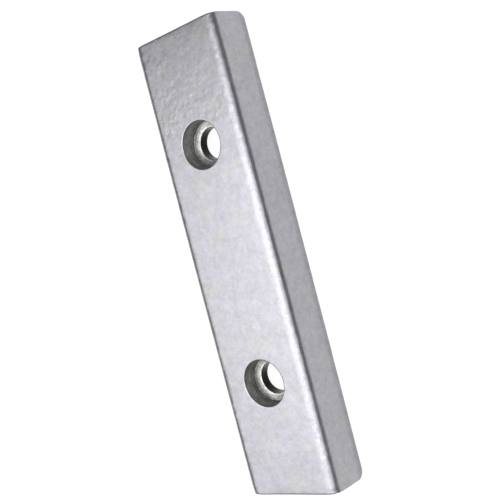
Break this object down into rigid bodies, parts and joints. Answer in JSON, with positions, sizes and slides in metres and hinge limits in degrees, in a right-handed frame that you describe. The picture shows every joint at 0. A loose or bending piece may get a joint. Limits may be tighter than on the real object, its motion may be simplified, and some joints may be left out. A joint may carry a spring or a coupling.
{
  "type": "sacrificial anode",
  "caption": "Bolt-on bar anode: a drafted block of cast zinc alloy with rounded edges and stepped bolt holes that sink the bolt heads below its open face.",
  "frame": {"origin": "middle of the flat mounting face, on the line between the two bolt holes", "axes": "+Y along the bar, +X across it, +Z out of the open face, away from what the bar is bolted to"},
  "size_m": [0.0306, 0.1298, 0.0134],
  "materials": {
    "zinc_alloy": "as cast, satin"
  },
  "bodies": {
    "root": {"anode_casting": "zinc_alloy"}
  },
  "joints": []
}
